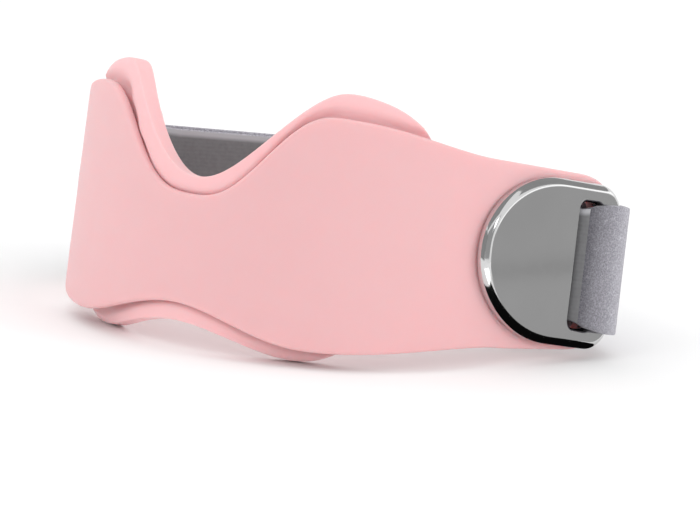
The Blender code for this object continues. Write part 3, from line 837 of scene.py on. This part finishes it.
# %% Model the webbing
def along_route(s, height, out):
    """The place of a point of the strip at a length along the route. The sewn end is
    laid a little higher than the layer under it."""
    i = 1
    while i < len(route) - 1 and route[i][0] < s:
        i += 1
    (s0, x0, y0, h0), (s1, x1, y1, h1) = route[i - 1], route[i]
    t = (s - s0) / (s1 - s0)
    x, y, heading = blend(x0, x1, t), blend(y0, y1, t), blend(h0, h1, t)
    away = out - STRAP_THICK / 2
    sewn_from = route[-1][0] - SEWN_END - SEWN_RISE_LONG
    lift = SEWN_RISE * ease(share(s, sewn_from, sewn_from + SEWN_RISE_LONG))
    high = pinched(x, y, height) + lift
    upright = Vector((x + away * math.sin(heading), y - away * math.cos(heading), high))
    return upright + leaning(x, y, high)


strap = add_sheet("strap_webbing_soft", [row[0] for row in route],
                  lambda s: -STRAP_WIDTH / 2, lambda s: STRAP_WIDTH / 2)
add_modifier(strap, "SOLIDIFY", thickness=STRAP_THICK, offset=1.0)
add_modifier(strap, "BEVEL", width=STRAP_EDGE, segments=3, limit_method="ANGLE",
             angle_limit=ROUND_RIM)
apply_all(strap)


def length_at(side):
    """The length along the strip where it is halfway through a side's slot."""
    slot = on_side(side * SLOT_MIDDLE, 0, (PLATE_IN + PLATE_OUT) / 2)
    return min(route, key=lambda row: math.hypot(row[1] - slot.x, row[2] - slot.y))[0]


heights = strap.data.attributes.new("height", "FLOAT", "POINT")
for index, vertex in enumerate(strap.data.vertices):
    heights.data[index].value = vertex.co.y / STRAP_WIDTH + 0.5
inner_faces = [face.index for face in strap.data.polygons if face.center.z < INNER_SIDE
               and length_at(1) < face.center.x < length_at(-1)]
print("faces of the strip's inner side:", len(inner_faces))
lay_round(strap, along_route)
only(strap)
bpy.ops.object.shade_smooth_by_angle(angle=ROUND_RIM)
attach(strap, "root")
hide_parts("strap")
report(strap)

# %% [markdown]
# ## Pink soft rubber
# The band and the cushion are moulded in matte silicone with a dry, soft surface. It is
# almost one colour, but light enters it and comes out redder, so folds look warm and not
# grey. Subsurface scattering does that. A fine grain in the bump keeps it matte, and a
# faint cloud keeps the colour from looking painted.

# %% Silicone
def silicone(name, pale, deep):
    finish = Finish(name, {"Subsurface Weight": 0.6, "Subsurface Scale": 0.003,
                           "Subsurface Radius": (1.0, 0.35, 0.3),
                           "Specular IOR Level": 0.25})
    place = finish.place()
    cloud = finish.noise(place, 9 * MM, 3)
    grain = finish.noise(place, 0.25 * MM, 2)
    finish.drive("Base Color", finish.tint(cloud, pale, deep))
    finish.drive("Roughness", 0.52 + 0.1 * grain)
    finish.drive("Normal", finish.bump(grain, 0.02 * MM, 0.5))
    return finish


dress(band, silicone("band_silicone", (0.775, 0.470, 0.482), (0.76, 0.452, 0.464)))
dress(pad, silicone("pad_silicone", (0.845, 0.523, 0.537), (0.83, 0.503, 0.517)))

# %% [markdown]
# ## Polished metal
# The plates are plated and polished. The colour is a neutral grey that the cards and the
# white room fill. No polish is perfectly even, so the roughness varies in soft patches,
# and a very low wave in the bump bends the reflections, as on a cast face.

# %% Plated metal
def metal(name, tone, roughness, wave):
    finish = Finish(name, {"Metallic": 1.0})
    place = finish.place()
    cloud = finish.noise(place, 14 * MM, 2)
    rub = finish.noise(place, 1.5 * MM, 3)
    finish.drive("Base Color", finish.tint(cloud, [0.96 * tone] * 3, [1.04 * tone] * 3))
    finish.drive("Roughness", roughness + 0.05 * rub)
    finish.drive("Normal", finish.bump(cloud, wave))
    return finish


plate_finish = metal("plate_metal", 0.62, 0.07, 0.012 * MM)
for plate in plates:
    dress(plate, plate_finish)
rivet_finish = metal("rivet_metal", 0.5, 0.25, 0.05 * MM)
for name in ("buckle_rivet_right", "buckle_rivet_left"):
    dress(bpy.data.objects[name], rivet_finish)

# %% [markdown]
# ## Loop pile
# The webbing is covered with a short pile of fine loops. From near it looks like fine
# grains, dark between the loops and pale on top, in a lavender grey. Cells of a Voronoi
# pattern stand for the loops and noise breaks them up. The same height drives the bump.
# The colour darkens towards the slot and pales away from it: painted shade where the
# strip dips into the slot, and painted light across the round roll over the bar. That
# change is stored on the strip's points as an attribute when it is laid.

# %% Webbing
# Painted shade keeps the strip darkest within the first distance of the slot, and painted light
# makes it palest past the second.
SLOT_SHADE_UNTIL, ROLL_LIGHT_FULL_AT = 1.0 * MM, 14.5 * MM
brushed = strap.data.attributes.new("brushed", "FLOAT", "POINT")
unlaid = LOOP.inverted()
for index, vertex in enumerate(strap.data.vertices):
    spot = unlaid @ vertex.co
    slot = on_side(side_of(spot.x) * (SLOT_END - SLOT_WIDTH), 0, PLATE_OUT)
    away = math.hypot(spot.x - slot.x, spot.y - slot.y)
    brushed.data[index].value = share(away, SLOT_SHADE_UNTIL, ROLL_LIGHT_FULL_AT)

pile = Finish("strap_webbing", {"Specular IOR Level": 0.1, "Sheen Weight": 0.25,
                                "Sheen Roughness": 0.5})
pile_place = pile.place()
roll_shading_fac = pile.node("ShaderNodeAttribute", {"attribute_name": "brushed"}, {})["Fac"]
loops = pile.node("ShaderNodeTexVoronoi", {}, {"Vector": pile_place, "Scale": 1 / (0.46 * MM),
                                               "Randomness": 1.0})["Distance"]
tangle = pile.noise(pile_place, 0.28 * MM, 3, 0.7)
patches = pile.noise(pile_place, 5 * MM, 2)
depth = 0.5 * loops + tangle
tone = depth + 0.15 * patches - 0.42
shades = pile.node("ShaderNodeValToRGB",
                   {"stops": [(0.0, (0.09, 0.086, 0.10)), (0.45, (0.195, 0.19, 0.215)),
                              (0.9, (0.34, 0.335, 0.37))]}, {"Fac": tone})
# The pile's colour is multiplied by the painted shading, from dark at the slot to pale past the
# bar.
pile_with_painted_shading = pile.node("ShaderNodeMix", {"data_type": "RGBA", "blend_type": "MULTIPLY"},
                        {0: 1.0, 6: shades["Color"],
                         7: pile.tint(roll_shading_fac, (0.45, 0.45, 0.46), (2.08, 2.08, 2.05))})
pile.drive("Base Color", pile_with_painted_shading["Result"])
pile.drive("Roughness", 0.88 + 0.1 * tangle)
pile.drive("Normal", pile.bump(depth, 0.25 * MM, 0.6))
dress(strap, pile)

# %% [markdown]
# ## The back of the webbing
# The side towards the leg has no pile. It is a close, flat weave that looks smoother,
# and it shows inside the loop. Its darker colour is painted shade, for the inside of the
# loop that gets little light. Fine ribs along the strip and a mottle make the weave. A
# pale line along its upper edge is a painted highlight, where that edge catches the
# light. The line is found by the height on the strip, kept on its points. Only the faces
# that look into the loop get this finish, between the two slots.

# %% Woven back
TOP_HIGHLIGHT_FROM, TOP_HIGHLIGHT_TO = 0.930, 0.965
weave = Finish("webbing_back_shaded", {"Specular IOR Level": 0.15})
weave_place = weave.place()
ribs = weave.node("ShaderNodeTexWave", {"bands_direction": "Z"},
                  {"Vector": weave_place, "Scale": 1 / (3.2 * MM), "Distortion": 1.5,
                   "Detail Scale": 4.0})["Fac"]
mottle = weave.noise(weave_place, 1.2 * MM, 3, 0.6)
shade = 0.12 * ribs + 0.88 * mottle
high_on = weave.node("ShaderNodeAttribute", {"attribute_name": "height"}, {})["Fac"]
# The pale line along the top edge is a painted highlight.
edge = weave.node("ShaderNodeMapRange", {"clamp": True},
                  {"Value": high_on, "From Min": TOP_HIGHLIGHT_FROM, "From Max": TOP_HIGHLIGHT_TO})["Result"]
# The cloth's dark colour is painted shade for the inside of the loop.
cloth_in_painted_shade = weave.tint(shade, (0.13, 0.13, 0.135), (0.20, 0.20, 0.205))
weave.drive("Base Color", weave.tint(edge, cloth_in_painted_shade, (0.40, 0.40, 0.42)))
weave.drive("Roughness", 0.8 + 0.1 * mottle)
weave.drive("Normal", weave.bump(shade, 0.08 * MM, 0.6))
strap.data.materials.append(weave.material)
for index in inner_faces:
    strap.data.polygons[index].material_index = 1

# %% [markdown]
# ## Hook tape
# The patch under the free end is tape with fine hooks. It is nearly hidden, so the
# measured solid stays and only gets a dark finish with small regular bumps.

# %% Hooks
hooks = Finish("hook_tape", {"Specular IOR Level": 0.3})
hook_place = hooks.place()
studs = hooks.node("ShaderNodeTexVoronoi", {}, {"Vector": hook_place, "Scale": 1 / (1.1 * MM),
                                                "Randomness": 0.2})["Distance"]
hooks.drive("Base Color", hooks.tint(studs, (0.16, 0.16, 0.17), (0.06, 0.06, 0.065)))
hooks.drive("Roughness", 0.6 + 0.2 * studs)
hooks.drive("Normal", hooks.bump(1 - studs, 0.4 * MM))
dress(bpy.data.objects["hook_tab"], hooks)
